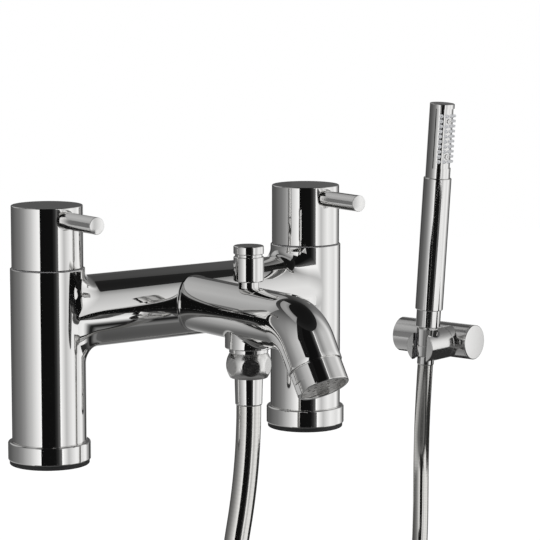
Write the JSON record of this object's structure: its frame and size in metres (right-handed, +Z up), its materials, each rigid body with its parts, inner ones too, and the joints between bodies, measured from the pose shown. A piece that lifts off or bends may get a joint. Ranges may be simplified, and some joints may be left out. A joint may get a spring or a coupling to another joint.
{
  "type": "bath shower mixer",
  "caption": "Deck-mounted bath filler with lever-pin handles, curved spout, pull-up diverter, long hose and straight stick handset resting in a wall holder.",
  "frame": {"origin": "on the deck, midway between the axes of the two legs", "axes": "+X along the crossbar to the right-hand leg as seen from the spout, -Y out along the spout, +Z up"},
  "size_m": [0.8148, 0.7604, 0.606],
  "materials": {
    "chrome": "polished",
    "black_rubber": "matt",
    "brass": "turned",
    "ceramic": "lapped",
    "grey_plastic": "moulded",
    "steel": "plain",
    "silver_hose": "satin silver",
    "liner_plastic": "moulded",
    "dark_plastic": "moulded",
    "sleeve_plastic": "plated",
    "nozzle_rubber": "soft, slightly clear"
  },
  "bodies": {
    "mixer_and_holder": {"mixer_body": "chrome", "left_deck_gasket": "black_rubber", "left_base_flange": "chrome", "left_seat_seal": "black_rubber", "left_cartridge_body": "brass", "left_fixed_disc": "ceramic", "left_gland_nut": "brass", "left_glide_ring": "grey_plastic", "right_deck_gasket": "black_rubber", "right_base_flange": "chrome", "right_seat_seal": "black_rubber", "right_cartridge_body": "brass", "right_fixed_disc": "ceramic", "right_gland_nut": "brass", "right_glide_ring": "grey_plastic", "diverter_gland": "chrome", "aerator_ring": "chrome", "aerator_insert": "dark_plastic", "aerator_washer": "black_rubber", "outlet_nipple": "chrome", "hose_nut": "chrome", "hose_washer": "black_rubber", "hose_ferrule": "chrome", "shower_hose": "silver_hose", "holder_jaw": "chrome", "holder_liner": "liner_plastic", "holder_jaw_pin": "steel", "holder_arm": "chrome", "holder_front_cap": "chrome", "wall_plate": "steel", "holder_grub_screw": "steel"},
    "left_handle": {"left_spindle": "brass", "left_moving_disc": "ceramic", "left_handle_cap": "chrome", "left_handle_lever": "chrome", "left_handle_grub_screw": "steel"},
    "right_handle": {"right_spindle": "brass", "right_moving_disc": "ceramic", "right_handle_cap": "chrome", "right_handle_lever": "chrome", "right_handle_grub_screw": "steel"},
    "diverter": {"diverter_knob": "chrome", "diverter_rod": "brass", "diverter_plug": "brass", "diverter_washers": "black_rubber"},
    "hose_end": {"swivel_ferrule": "chrome"},
    "handset": {"cone_nut": "chrome", "cone_washer": "black_rubber", "handset_connector": "chrome", "handset_check_valve": "grey_plastic", "handset_handle": "chrome", "handset_head": "chrome", "spray_sleeve": "sleeve_plastic", "spray_nozzles": "nozzle_rubber", "spray_screws": "chrome"}
  },
  "joints": [
    {"name": "left_handle_turn", "type": "hinge", "parent": "mixer_and_holder", "child": "left_handle", "pos_m": [-0.09, 0, 0.1105], "axis": [0, 0, 1], "range_deg": [-90, 0]},
    {"name": "right_handle_turn", "type": "hinge", "parent": "mixer_and_holder", "child": "right_handle", "pos_m": [0.09, 0, 0.1105], "axis": [0, 0, 1], "range_deg": [0, 90]},
    {"name": "diverter_lift", "type": "slide", "parent": "mixer_and_holder", "child": "diverter", "axis": [0, 0, 1], "range_m": [0, 0.008]},
    {"name": "handset_lift", "type": "slide", "parent": "mixer_and_holder", "child": "hose_end", "axis": [0.0176, -0.0657, 0.9977], "range_m": [0, 0.035]},
    {"name": "handset_spin", "type": "hinge", "parent": "hose_end", "child": "handset", "pos_m": [0.6394, 0.5436, -0.0808], "axis": [0.0176, -0.0657, 0.9977], "continuous": true}
  ]
}
